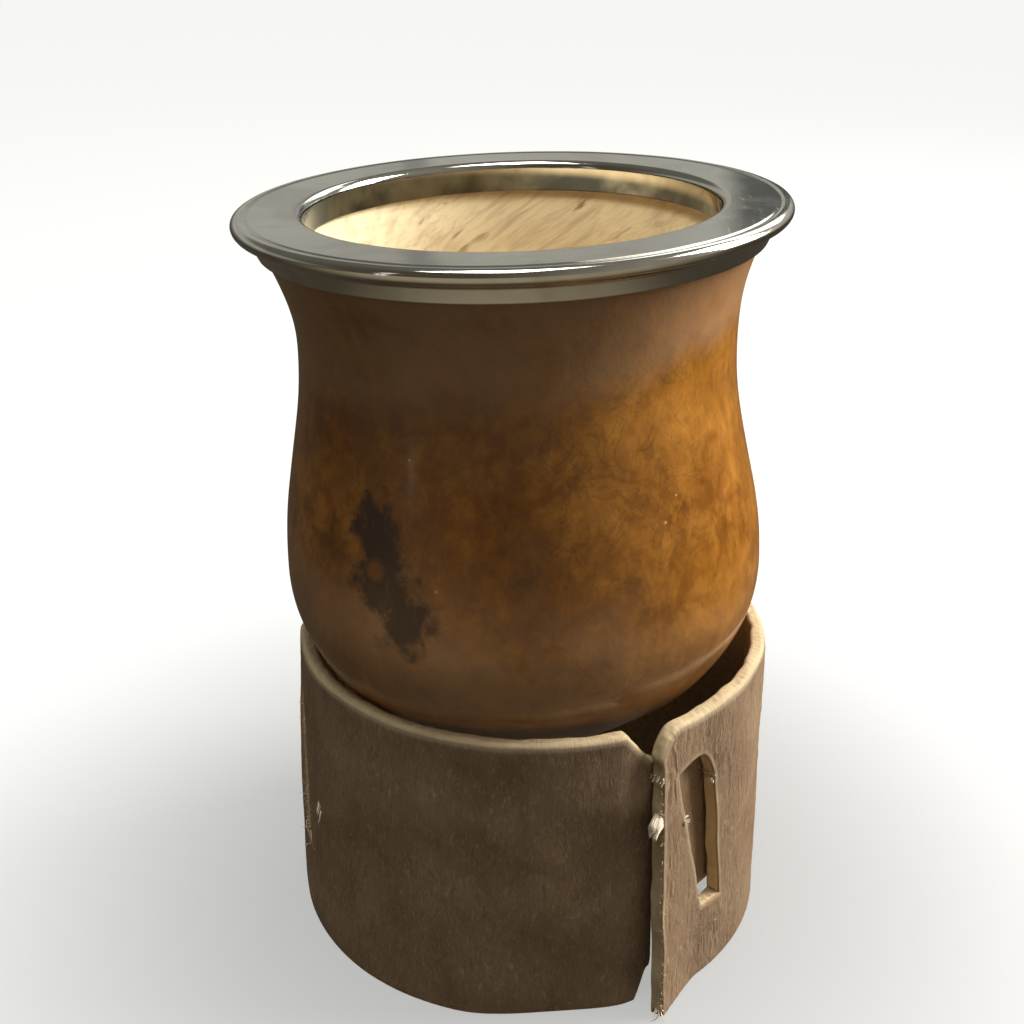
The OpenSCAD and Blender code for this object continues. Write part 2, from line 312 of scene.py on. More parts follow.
def outline(height, belly, waist, top, base, gourd, top_height):
    """The radius of a gourd at a height: an ellipse's quarter below the belly, a half
    cosine from the belly to the waist, and a flare as the square of the height above."""
    low = belly * np.sqrt(np.clip(1 - ((gourd.belly_height - height)
                                       / (gourd.belly_height - base)) ** 2, 0, 1))
    climb = (height - gourd.belly_height) / (gourd.waist_height - gourd.belly_height)
    flare = np.clip((height - gourd.waist_height) / (top_height - gourd.waist_height), 0, 1)
    high = np.where(height < gourd.waist_height, between(belly, waist, eased(climb)),
                    between(waist, top, flare ** 2))
    return np.where(height < gourd.belly_height, low, high)


def skin_radius(height, gourd):
    """The gourd's outer radius at a height."""
    return outline(height, gourd.belly_radius, gourd.waist_radius, gourd.mouth_radius,
                   gourd.underside, gourd, gourd.mouth_height)


def evenly(points, count):
    """A path's points, spread again at equal distances along it."""
    steps = np.linalg.norm(np.diff(points, axis=0), axis=1)
    along = np.concatenate([[0], np.cumsum(steps)])
    wanted = np.linspace(0, along[-1], count)
    return np.stack([np.interp(wanted, along, points[:, k]) for k in (0, 1)], axis=1)


def arc(centre, radius, start, end, count=24):
    """Points on an arc from one angle to another, in degrees."""
    a = np.radians(np.linspace(start, end, count))
    return np.stack([centre[0] + radius * np.cos(a), centre[1] + radius * np.sin(a)], axis=1)


def profile_normals(path, closed):
    """Unit normals of a path in its own plane, square to the line through each
    point's two neighbours."""
    if closed:
        along = np.roll(path, -1, axis=0) - np.roll(path, 1, axis=0)
    else:
        along = np.gradient(path, axis=0)
    return unit(np.stack([along[:, 1], -along[:, 0]], axis=1))


def gourd_profile(gourd, rim):
    """The gourd's section from the outer pole, up the skin, over the cut mouth and
    down the hollow to the inner pole, as (radius, height)."""
    quarter = np.linspace(0, 1, 400)
    low = np.radians(90 * quarter)
    depth = gourd.belly_height - gourd.underside
    skin_low = np.stack([gourd.belly_radius * np.sin(low),
                         gourd.belly_height - depth * np.cos(low)], axis=1)
    z = np.linspace(gourd.belly_height, gourd.mouth_height, 600)
    skin_high = np.stack([skin_radius(z, gourd), z], axis=1)
    base = gourd.underside + gourd.floor
    top = gourd.mouth_height + rim.sheet - rim.liner_depth
    bore = rim.bore_radius + rim.sheet + rim.clearance
    belly = gourd.belly_radius - gourd.belly_wall
    z = np.linspace(gourd.belly_height, gourd.mouth_height, 600)[::-1]
    hollow = np.stack([outline(z, belly, gourd.waist_radius - gourd.waist_wall, bore, base,
                               gourd, top), z], axis=1)
    hollow_low = np.stack([belly * np.cos(low),
                           gourd.belly_height - (gourd.belly_height - base) * np.sin(low)],
                          axis=1)
    outer = evenly(np.concatenate([skin_low, skin_high]), SKIN_ROWS)
    inner = evenly(np.concatenate([hollow, hollow_low]), HOLLOW_ROWS)
    return np.concatenate([outer, inner]), len(outer)


def turned(path, closed, columns, unevenness):
    """A section turned round the gourd's axis, as a grid of points whose rows follow the
    section. Each point is moved along the section's normal by the distance that
    unevenness gives for its place."""
    normals = profile_normals(path, closed)
    turn = np.linspace(0, 2 * np.pi, columns, endpoint=False)
    ring = np.stack([np.cos(turn), np.sin(turn)], axis=-1)
    flat = path[:, None, :1] * ring[None]
    height = np.broadcast_to(path[:, None, 1], flat.shape[:2])
    shift = unevenness(flat[..., 0], flat[..., 1], height)
    flat = flat + (shift * normals[:, None, 0])[..., None] * ring[None]
    height = height + shift * normals[:, None, 1]
    return np.concatenate([flat, height[..., None]], axis=-1)


def make_gourd(gourd, rim, leather):
    """The gourd: its section turned round the axis, with the skin moved along its own
    normal by low hills that fade out under the rim. Both poles are single points. Also
    returns 1 for each face of the bare inner wall and 0 for each of the skin."""
    path, outer_rows = gourd_profile(gourd, rim)
    rows, columns = len(path), GOURD_COLUMNS
    inside = np.arange(rows)[:, None] >= outer_rows

    def unevenness(*where):
        bumps = hills(3, 0.055, *where) + 0.28 * hills(4, 0.016, *where)
        scraped = 0.5 * hills(5, 0.02, *where) + 0.35 * hills(6, 0.006, *where)
        calm = eased((gourd.mouth_height - 5 * MM - where[2]) / (14 * MM))
        return gourd.unevenness * calm * np.where(inside, scraped, bumps)

    points = turned(path, False, columns, unevenness)
    body = points[1:-1].reshape(-1, 3)
    poles = np.stack([points[0].mean(0), points[-1].mean(0)])
    poles[:, :2] = 0
    numbers = np.arange((rows - 2) * columns).reshape(rows - 2, columns)
    wrapped = np.concatenate([numbers, numbers[:, :1]], axis=1)
    quads = grid_quads(wrapped)[:, ::-1]
    under, deep = len(body), len(body) + 1
    first, last = wrapped[0], wrapped[-1]
    triangles = np.concatenate([
        np.stack([np.full(columns, under), first[1:], first[:-1]], axis=1),
        np.stack([np.full(columns, deep), last[:-1], last[1:]], axis=1)])
    piece = solid("gourd_shell", leaned(np.concatenate([body, poles]), gourd, leather),
                  quads, triangles)
    bare = np.repeat(inside[1:-2, 0], columns)
    return piece, np.concatenate([bare, np.zeros(columns), np.ones(columns)])


def rim_profile(gourd, rim):
    """The closed section of the rim: up the liner, over the lip, out along the flat to
    a shallow groove, round the bead, down the collar and back up inside."""
    top = gourd.mouth_height + rim.sheet
    liner = top - rim.liner_depth
    lip = (rim.bore_radius + rim.lip_radius, top - rim.lip_radius)
    bead = (gourd.mouth_radius + rim.clearance + rim.bead_out, top - rim.bead_radius)
    step = bead[1] - rim.bead_radius - rim.sheet
    collar = top - rim.collar_depth
    outer_z = np.linspace(step, collar, 20)
    inner_z = np.linspace(collar, gourd.mouth_height, 20)
    cover = rim.clearance + rim.sheet
    fold = collar - 0.12 * MM
    corners = [
        [[rim.bore_radius, liner]],
        arc(lip, rim.lip_radius, 180, 90),
        arc(bead, rim.bead_radius, 90, -80, 40),
        np.stack([skin_radius(outer_z, gourd) + cover, outer_z], axis=1),
        [[skin_radius(np.array(collar), gourd) + rim.clearance + rim.sheet / 2, fold]],
        np.stack([skin_radius(inner_z, gourd) + rim.clearance, inner_z], axis=1),
        [[rim.bore_radius + rim.sheet, gourd.mouth_height],
         [rim.bore_radius + rim.sheet, liner],
         [rim.bore_radius, liner]]]
    path = evenly(np.concatenate([np.asarray(c, float) for c in corners]), RIM_ROWS + 1)[:-1]
    beside = np.exp(-((path[:, 0] - bead[0] + 0.9 * MM) / (0.28 * MM)) ** 2)
    path[:, 1] -= rim.groove * beside * (path[:, 1] > top - 0.3 * MM)
    return path


def make_rim(gourd, rim, leather):
    """The rim: its closed section turned round the gourd's axis, with very shallow
    dents along its normal that bend what it mirrors."""
    path = rim_profile(gourd, rim)

    def dents(*where):
        return rim.dent * (hills(11, 0.018, *where) + 0.4 * hills(12, 0.006, *where))

    points = turned(path, True, RIM_COLUMNS, dents).reshape(-1, 3)
    numbers = np.arange(len(points)).reshape(len(path), RIM_COLUMNS)
    wrapped = np.concatenate([numbers, numbers[:1]], axis=0)
    wrapped = np.concatenate([wrapped, wrapped[:, :1]], axis=1)
    return solid("mouth_rim", leaned(points, gourd, leather), grid_quads(wrapped))


class Panel:
    """One leather panel as a surface of two parameters: f, the degrees from the free
    end of its flap, and z, the height. Its outer face lies outside a plain cone by the
    flap's lift, a swelling beside the slot and a drawing in at the foot, and passes
    behind the next panel as its tongue.

    The constants are in degrees of f, apart from the lifts, which are in millimetres
    at the top, the middle and the foot, and from what is multiplied by MM."""
    SECTOR = 120.0
    SHOULDER_RUN = 5.0 * MM
    FOOT_CUT_ARC = 3.0
    LIFTS = {"front": (0.2, 1.3, 0.6), "right": (1.6, 3.2, 4.6), "back": (1.4, 2.2, 1.8)}
    NEXT = {"front": "right", "right": "back", "back": "front"}
    LIFT_ARC = 15.0
    SWELL_END = 45.0
    DRAW_MIDDLE = 98.0
    DRAW_HALF = 24.0
    BLEND_START = 111.0
    SLOT_LEFT = (4.5, 16.0)
    SLOT_RIGHT = (18.5, 22.5)
    TONGUE_OVER = 7.0
    SLOT_CORNER = 4.6 * MM
    TONGUE_SLOPE = 2.6 * MM
    ROUND_TOP = 0.85 * MM
    ROUND_CUT = 0.28 * MM
    WRINKLED = {"front": 0.45, "right": 1.0, "back": 0.9}

    def __init__(self, name, gourd, leather):
        self.name = name
        self.leather = leather
        self.seed = 100 * (PANELS[name] + 1)
        self.start = leather.first_heading + math.radians(self.SECTOR) * PANELS[name]
        lower, upper = STAND_TOP - 0.5 * MM, STAND_TOP + 0.5 * MM
        slope = (skin_radius(upper, gourd) - skin_radius(lower, gourd)) / MM
        seat = skin_radius(STAND_TOP, gourd)
        room = seat * math.tan(gourd.lean) * slope
        room = room + math.hypot(gourd.shift_x, gourd.shift_y)
        self.top_radius = float(seat + room + leather.seat_gap + leather.thickness)
        self.slot_top = STAND_TOP - leather.slot_drop

    def foot(self, z):
        """0 at the stand's top and 1 at its foot."""
        return 1 - z / STAND_TOP

    def stand_off(self, lift, z):
        """A parabola in height through the lift at the top, the middle and the foot."""
        k = self.foot(z)
        top, middle, foot = (x * MM for x in lift)
        return top * (1 - k) * (1 - 2 * k) + 4 * middle * k * (1 - k) + foot * k * (2 * k - 1)

    def swelling(self, f, z):
        """The swelling beside the slot, fuller at the foot, fading along the panel."""
        fade = 1 - eased((f - self.SWELL_END) / self.SWELL_END)
        return self.leather.swell * between(0.4, 1, self.foot(z)) * fade

    def lifted(self, f):
        """The share of the lift, greatest at the flap's free end."""
        return np.clip(1 - f / self.LIFT_ARC, 0, None) ** 1.5

    def out(self, f, z):
        """How far the outer face lies outside the plain cone."""
        drawn = eased(1 - abs(f - self.DRAW_MIDDLE) / self.DRAW_HALF)
        body = (self.stand_off(self.LIFTS[self.name], z) * self.lifted(f)
                + self.swelling(f, z) - self.leather.draw_in * self.foot(z) * drawn)
        g = np.clip(f - self.SECTOR, 0, None)
        behind = min(self.LIFTS[self.NEXT[self.name]]) * MM * self.lifted(g)
        tongue = (behind + self.swelling(g, z) - self.leather.thickness
                  - self.leather.tongue_gap)
        pass_in = eased((f - self.BLEND_START) / (self.SECTOR - self.BLEND_START))
        return between(body, tongue, pass_in)

    def face(self, f, z):
        """The smooth outer face as points."""
        radius = self.top_radius + self.leather.foot_spread * self.foot(z) + self.out(f, z)
        heading = self.start + np.radians(f)
        return np.stack([self.leather.place_x + radius * np.cos(heading),
                         self.leather.place_y + radius * np.sin(heading), z], axis=-1)

    def plan_normal(self, f, z):
        """The level direction square to the outer face, from its points on both sides."""
        across = self.face(f + 0.05, z) - self.face(f - 0.05, z)
        return unit(np.stack([across[..., 1], -across[..., 0], 0 * f], axis=-1))

    def arc_length(self, f):
        """Distance round the ring from the flap's end."""
        return np.radians(f) * self.top_radius

    def upper(self, f):
        """The upper edge: a round corner at the flap, a straight cut at the shoulder."""
        leather = self.leather
        s = np.clip(self.arc_length(f), 0, leather.corner)
        corner = leather.corner - np.sqrt(leather.corner ** 2 - (leather.corner - s) ** 2)
        share = self.arc_length(f - self.SECTOR) / self.SHOULDER_RUN + 1
        cut = np.clip(share, 0, 1) * leather.shoulder
        return STAND_TOP - corner - cut - self.ROUND_TOP

    def lower(self, f):
        """The foot, with a cut corner before the tongue."""
        share = (f - self.SECTOR) / self.FOOT_CUT_ARC + 1
        cut = np.clip(share, 0, 1) * self.leather.shoulder
        return cut + self.ROUND_CUT

    def columns(self):
        """Degrees of each column at the slot's top and foot, and the numbers of the
        columns where the slot begins and ends and where the tongue begins."""
        grow = math.degrees(self.ROUND_CUT / self.top_radius)
        stops = [(grow, grow), (self.SLOT_LEFT[0] - grow, self.SLOT_LEFT[1] - grow),
                 (self.SLOT_RIGHT[0] + grow, self.SLOT_RIGHT[1] + grow),
                 (self.SWELL_END, self.SWELL_END), (self.SECTOR - 6, self.SECTOR - 6),
                 (self.SECTOR + 1, self.SECTOR + 1)]
        end = self.SECTOR + self.SLOT_RIGHT[1] + self.TONGUE_OVER
        stops.append((end, end))
        marks, pieces = [0], []
        for number, (a, b) in enumerate(zip(stops, stops[1:])):
            widest = max(b[0] - a[0], b[1] - a[1])
            count = math.ceil(self.arc_length(widest) / self.leather.column_step)
            t = np.arange(count) / count
            if number == 0:
                t = t ** 1.5
            pieces.append(np.stack([between(a[k], b[k], t) for k in (0, 1)], axis=1))
            marks.append(marks[-1] + count)
        pieces.append([stops[-1]])
        return np.concatenate(pieces), marks[1], marks[2], marks[5]

    def rows(self):
        """The levels of the rows, from 0 to 1 below the slot, 1 to 2 beside it and 2
        to 3 above it."""
        step = self.leather.row_step
        spans = [self.leather.slot_foot, self.slot_top - self.leather.slot_foot,
                 self.leather.slot_drop]
        counts = [math.ceil(span / step) for span in spans]
        levels = [k + np.arange(n) / n for k, n in enumerate(counts)]
        return np.concatenate(levels + [[3.0]]), counts[0], counts[0] + counts[1]

    def parameters(self):
        """f and z over the whole grid, with the edges wandering as cut by hand, and
        whether each cell is leather."""
        leather = self.leather
        edges, slot_from, slot_to, tongue_from = self.columns()
        levels, low, high = self.rows()
        beside = np.clip(levels - 1, 0, 1)[None, :]
        f = between(edges[:, 1:2], edges[:, 0:1], beside)
        index = np.arange(len(edges))[:, None]
        narrow = eased((f - self.SWELL_END) / self.SWELL_END) * leather.tongue_inset
        open_part = np.clip((index - slot_from) / (slot_to - slot_from), 0, 1)
        arch = leather.slot_arch * np.sin(np.pi * open_part)
        fallen = np.clip((open_part - 0.66) / 0.34, 0, 1) ** 1.5
        corner = self.SLOT_CORNER * fallen * (1 - eased((f - self.SLOT_RIGHT[0]) / 14))
        slope = self.TONGUE_SLOPE * eased((self.SECTOR + 13 - f) / 11)
        slope = slope * (f > self.SECTOR - 3)
        rounding = np.where(f < self.SWELL_END, -self.ROUND_CUT,
                            self.ROUND_TOP * eased((f - self.SWELL_END) / self.SWELL_END))
        z0 = leather.slot_foot + narrow + rounding
        z1 = self.slot_top - narrow + arch - rounding - slope - corner
        level = np.broadcast_to(levels[None, :], f.shape)
        z = np.where(level < 1, between(self.lower(f), z0, level),
                     np.where(level < 2, between(z0, z1, level - 1),
                              between(z1, self.upper(f), level - 2)))
        s = self.arc_length(f)
        free = np.clip(z / (8 * MM), 0, 1)
        f = f + np.degrees(leather.wander * hills(self.seed + 1, 0.012, s, z)
                           / self.top_radius)
        z = z + leather.wander * free * hills(self.seed + 2, 0.014, s, z)
        cell_i = np.arange(len(edges) - 1)[:, None]
        cell_j = np.arange(len(levels) - 1)[None, :]
        in_middle = (cell_j >= low) & (cell_j < high)
        in_slot = (cell_i >= slot_from) & (cell_i < slot_to) & in_middle
        is_leather = ~in_slot & ((cell_i < tongue_from) | in_middle)
        return f, z, is_leather

    def relief(self, f, z):
        """Height of the grain side: upright wrinkles, which are sines across the panel
        whose phase drifts slowly along it, in patches, over broad low swells."""
        s = self.arc_length(f)
        s = s + 0.28 * MM * hills(self.seed + 14, 0.004, 0.5 * s, z)
        drift = 1.2 * hills(self.seed + 3, 0.0065, s, 0.8 * z)
        drift = drift + 0.6 * hills(self.seed + 4, 0.0026, s, 0.8 * z)
        total = 0
        for number, (wave, share) in enumerate([(1.25, 1.0), (0.83, 0.7), (2.1, 0.8)]):
            phase = 2 * np.pi * s / (wave * MM) + (2.2 + number) * drift
            patch = eased(0.5 + 0.6 * hills(self.seed + 5 + number, 0.007, s, 0.6 * z))
            ridge = 1 - 2 * np.abs(np.sin(phase / 2)) ** 0.8
            total = total + share * patch * ridge
        swells = hills(self.seed + 9, 0.022, s, z)
        return self.leather.wrinkle * self.WRINKLED[self.name] * total + 0.16 * MM * swells

    def edge_vectors(self, points, is_leather):
        """For each point of the grid: the direction out of the leather, within its
        surface, summed from the cell sides that meet there and have no leather beyond.
        Also the list of those sides as pairs of point numbers."""
        along_i = np.gradient(points, axis=0)
        along_j = np.gradient(points, axis=1)
        square_i = unit(along_i - unit(along_j) * np.sum(
            along_i * unit(along_j), axis=-1, keepdims=True))
        square_j = unit(along_j - unit(along_i) * np.sum(
            along_j * unit(along_i), axis=-1, keepdims=True))
        padded = np.pad(is_leather, 1)
        here = padded[1:-1, 1:-1]
        numbers = np.arange(points.shape[0] * points.shape[1]).reshape(points.shape[:2])
        outward = np.zeros_like(points).reshape(-1, 3)
        sides = []
        for beyond, a, b, field, sign in [
                (padded[:-2, 1:-1], (0, 0), (0, 1), square_i, -1),
                (padded[2:, 1:-1], (1, 1), (1, 0), square_i, 1),
                (padded[1:-1, :-2], (1, 0), (0, 0), square_j, -1),
                (padded[1:-1, 2:], (0, 1), (1, 1), square_j, 1)]:
            i, j = np.nonzero(here & ~beyond)
            pair = [numbers[i + end[0], j + end[1]] for end in (a, b)]
            flat = field.reshape(-1, 3)
            for end in pair:
                np.add.at(outward, end, sign * flat[end])
            sides.append(np.stack(pair, axis=1))
        return unit(outward), np.concatenate(sides)


def edge_distance(s, z, rim_s, rim_z):
    """Distance of each grid point from the nearest point on the panel's edges."""
    nearest = []
    for part_s, part_z in zip(np.array_split(s, 24), np.array_split(z, 24)):
        gap = (part_s[:, None] - rim_s[None]) ** 2 + (part_z[:, None] - rim_z[None]) ** 2
        nearest.append(np.sqrt(gap.min(1)))
    return np.concatenate(nearest)


def wall_rings(panel, place, smooth, normal, outward, relief, back):
    """The rows of points of the rounded wall along a panel's edges, and each row's share
    of the thickness. The wall's section is a quarter round, a straight cut face and
    another quarter round, a little ragged in its middle. Edges at the top and on the
    tongue are rounder than the others."""
    thick = panel.leather.thickness
    f, s, z = place
    near_top = eased((z - panel.upper(f) + 2.5 * MM) / (2 * MM))
    near_top = np.maximum(near_top, f > panel.SECTOR)
    rounding = between(panel.ROUND_CUT, panel.ROUND_TOP, near_top)
    rear = between(panel.ROUND_CUT, 0.7 * panel.ROUND_TOP, near_top)
    quarter = np.radians([22.5, 45, 67.5, 90])
    profile = ([("round", a) for a in quarter] + [("cut", t) for t in (0.25, 0.5, 0.75)]
               + [("back", a) for a in quarter[::-1]])
    rings, depths = [], []
    for kind, value in profile:
        if kind == "round":
            reach, depth = rounding * math.sin(value), rounding * (1 - math.cos(value))
        elif kind == "cut":
            reach = rounding
            depth = between(rounding, thick - rear, value)
        else:
            reach = rounding - rear * (1 - math.sin(value))
            depth = thick - rear * (1 - math.cos(value))
        share = depth / thick
        shift = relief * (1 - share) - back * share
        rag = 0.07 * MM * np.sin(np.pi * np.clip(share, 0, 1)) * (
            hills(panel.seed + 30, 0.0016, s, z, depth)
            + hills(panel.seed + 31, 0.005, s, z, depth))
        rings.append(smooth + outward * (reach + rag)[:, None]
                     + normal * (shift - depth)[:, None])
        depths.append(share)
    return rings, depths


def wall_quads(sides, rim_points, total, ring_count):
    """The faces of the wall, between its neighbouring rows, from the outer face's edge
    to the inner face's. The points are the outer face's, the inner face's and then the
    rows', in that order."""
    lookup = np.full(total, -1)
    lookup[rim_points] = np.arange(len(rim_points))
    first, second = lookup[sides[:, 0]], lookup[sides[:, 1]]
    rows = [(sides[:, 0], sides[:, 1])]
    for start in 2 * total + len(rim_points) * np.arange(ring_count):
        rows.append((start + first, start + second))
    rows.append((total + sides[:, 0], total + sides[:, 1]))
    return [np.stack([p[0], p[1], q[1], q[0]], axis=1) for p, q in zip(rows, rows[1:])]


def make_panel(name, gourd, leather):
    """A leather panel: the outer face over the cells that are leather, the same grid a
    thickness behind it, and between them a rounded wall along every edge."""
    panel = Panel(name, gourd, leather)
    f, z, is_leather = panel.parameters()
    smooth = panel.face(f, z)
    normal = panel.plan_normal(f, z)
    outward, sides = panel.edge_vectors(smooth, is_leather)
    s = panel.arc_length(f)
    smooth, normal = smooth.reshape(-1, 3), normal.reshape(-1, 3)
    f, s, z = f.ravel(), s.ravel(), z.ravel()
    rim = np.unique(sides)
    gap = edge_distance(s, z, s[rim], z[rim])
    relief = panel.relief(f, z) * np.clip(0.35 + gap / (2 * MM), 0, 1)
    back = 0.12 * MM * hills(panel.seed + 20, 0.006, s, z)
    outer = smooth + normal * relief[:, None]
    inner = smooth - normal * (leather.thickness + back)[:, None]
    rings, depths = wall_rings(panel, (f[rim], s[rim], z[rim]), smooth[rim], normal[rim],
                               outward[rim], relief[rim], back[rim])

    total = f.size
    numbers = np.arange(total).reshape(is_leather.shape[0] + 1, -1)
    cells = grid_quads(numbers)[is_leather.ravel()]
    walls = wall_quads(sides, rim, total, len(rings))
    quads = np.concatenate([cells, (cells + total)[:, ::-1]] + walls)
    points = np.concatenate([outer, inner] + rings)
    points[:, 2] = np.maximum(points[:, 2], 0)
    depth_mark = np.concatenate([np.zeros(total), np.ones(total)] + depths)
    edge_mark = np.concatenate([gap, gap, np.zeros(len(rings) * len(rim))]) / MM
    uv_face = np.stack([s, z], axis=1)
    uv = np.concatenate([uv_face, uv_face] + [uv_face[rim]] * len(rings))
    return solid("leather_panel_" + name, points, quads, uv=uv,
                 marks={"depth": depth_mark, "edge": edge_mark})


def strands(roots, headings, lengths, widths, droops, flat=0.6):
    """Loose fibres as tapered tubes: each starts at its root, runs along its heading,
    bends by its droop vector as the square of the distance and ends in a point."""
    rings, sides = 7, 5
    t = np.linspace(0.0, 1.0, rings)[None, :, None]
    line = (roots[:, None] + headings[:, None] * lengths[:, None, None] * t
            + droops[:, None] * t ** 2)
    along = unit(np.gradient(line, axis=1))
    side = unit(np.cross(along, np.array([0.3, 0.1, 1.0])))
    lift = np.cross(along, side)
    taper = widths[:, None, None] * (1.02 - t) ** 0.7
    turn = np.linspace(0, 2 * np.pi, sides, endpoint=False)
    tube = (line[:, :, None] + taper[:, :, None] * (
        side[:, :, None] * np.cos(turn)[None, None, :, None]
        + flat * lift[:, :, None] * np.sin(turn)[None, None, :, None]))
    count = len(roots)
    points = np.concatenate([tube.reshape(-1, 3), line[:, 0], line[:, -1]])
    numbers = np.arange(count * rings * sides).reshape(count, rings, sides)
    looped = np.concatenate([numbers, numbers[:, :, :1]], axis=2)
    quads = np.stack([looped[:, :-1, :-1], looped[:, :-1, 1:], looped[:, 1:, 1:],
                      looped[:, 1:, :-1]], axis=-1).reshape(-1, 4)
    root = (count * rings * sides + np.arange(count))[:, None]
    tip = root + count
    caps = [np.stack([np.broadcast_to(root, (count, sides)), looped[:, 0, 1:],
                      looped[:, 0, :-1]], axis=-1),
            np.stack([np.broadcast_to(tip, (count, sides)), looped[:, -1, :-1],
                      looped[:, -1, 1:]], axis=-1)]
    return points, quads, np.concatenate([c.reshape(-1, 3) for c in caps])


def join_parts(parts):
    """Several (points, quads, triangles) as one, with the later numbers moved up."""
    start = 0
    points, quads, triangles = [], [], []
    for part in parts:
        points.append(part[0])
        quads.append(part[1] + start)
        triangles.append(part[2] + start)
        start += len(part[0])
    return np.concatenate(points), np.concatenate(quads), np.concatenate(triangles)


def scatter(draw, panel, count, f_range, z_range, depth_range, lean, long, thin, wild):
    """Fibres rooted over a patch of a panel. lean is the mean heading as shares along
    the panel, up, and outwards, long and thin are ranges in millimetres, and wild is
    how far the headings and bends differ."""
    f = draw.uniform(*f_range, count)
    z = draw.uniform(*z_range, count) * MM
    depth = draw.uniform(*depth_range, count) * MM
    normal = panel.plan_normal(f, z)
    round_way = unit(np.stack([-normal[:, 1], normal[:, 0], 0 * f], axis=1))
    up = np.broadcast_to([0.0, 0.0, 1.0], normal.shape)
    roots = panel.face(f, z) - normal * depth[:, None]
    mix = np.array(lean) + draw.normal(size=(count, 3)) * wild
    heading = unit(mix[:, :1] * round_way + mix[:, 1:2] * up + mix[:, 2:] * normal)
    length_each = draw.uniform(*long, count) * MM
    droop = draw.normal(size=(count, 3)) * (wild * length_each)[:, None]
    droop[:, 2] -= 0.15 * length_each
    return strands(roots, heading, length_each, draw.uniform(*thin, count) * MM, droop)


def make_fibres(gourd, leather, seed):
    """The loose fibres at the cuts: a tuft on the right flap's end, frayed slot edges,
    scuffs below the slots, a torn bit at the left closure and curls at the foot."""
    draw = np.random.default_rng(seed)
    panels = {name: Panel(name, gourd, leather) for name in PANELS}
    parts = [scatter(draw, panels[name], *patch) for name, *patch in FIBRES]
    points, quads, triangles = join_parts(parts)
    points[:, 2] = np.maximum(points[:, 2], 0.1 * MM)
    return solid("leather_fibres", points, quads, triangles)


# ---- shader wiring ----------------------------------------------------------

class Wire:
    """One output of a shader node. Arithmetic on it adds Math nodes."""

    def __init__(self, paint, socket):
        self.paint = paint
        self.socket = socket

    def math(self, operation, *values):
        """Adds a Math node on some values or wires."""
        sockets = {k: v for k, v in enumerate(values)}
        return self.paint.node("Math", {"operation": operation}, sockets)

    def __add__(self, other):
        return self.math("ADD", self, other)

    def __radd__(self, other):
        return self.math("ADD", other, self)

    def __sub__(self, other):
        return self.math("SUBTRACT", self, other)

    def __rsub__(self, other):
        return self.math("SUBTRACT", other, self)

    def __mul__(self, other):
        return self.math("MULTIPLY", self, other)

    def __rmul__(self, other):
        return self.math("MULTIPLY", other, self)

    def __truediv__(self, other):
        return self.math("DIVIDE", self, other)

    def __pow__(self, other):
        return self.math("POWER", self, other)

    def __abs__(self):
        return self.math("ABSOLUTE", self)

    def most(self, other):
        """The greater of two numbers."""
        return self.math("MAXIMUM", self, other)

    def rise(self, low, high):
        """0 below low, 1 above high, and an eased step between."""
        return self.paint.node("MapRange", {"interpolation_type": "SMOOTHSTEP"},
                               {"Value": self, "From Min": low, "From Max": high})

    def fall(self, low, high):
        """1 below low, 0 above high, and an eased step between."""
        return 1 - self.rise(low, high)


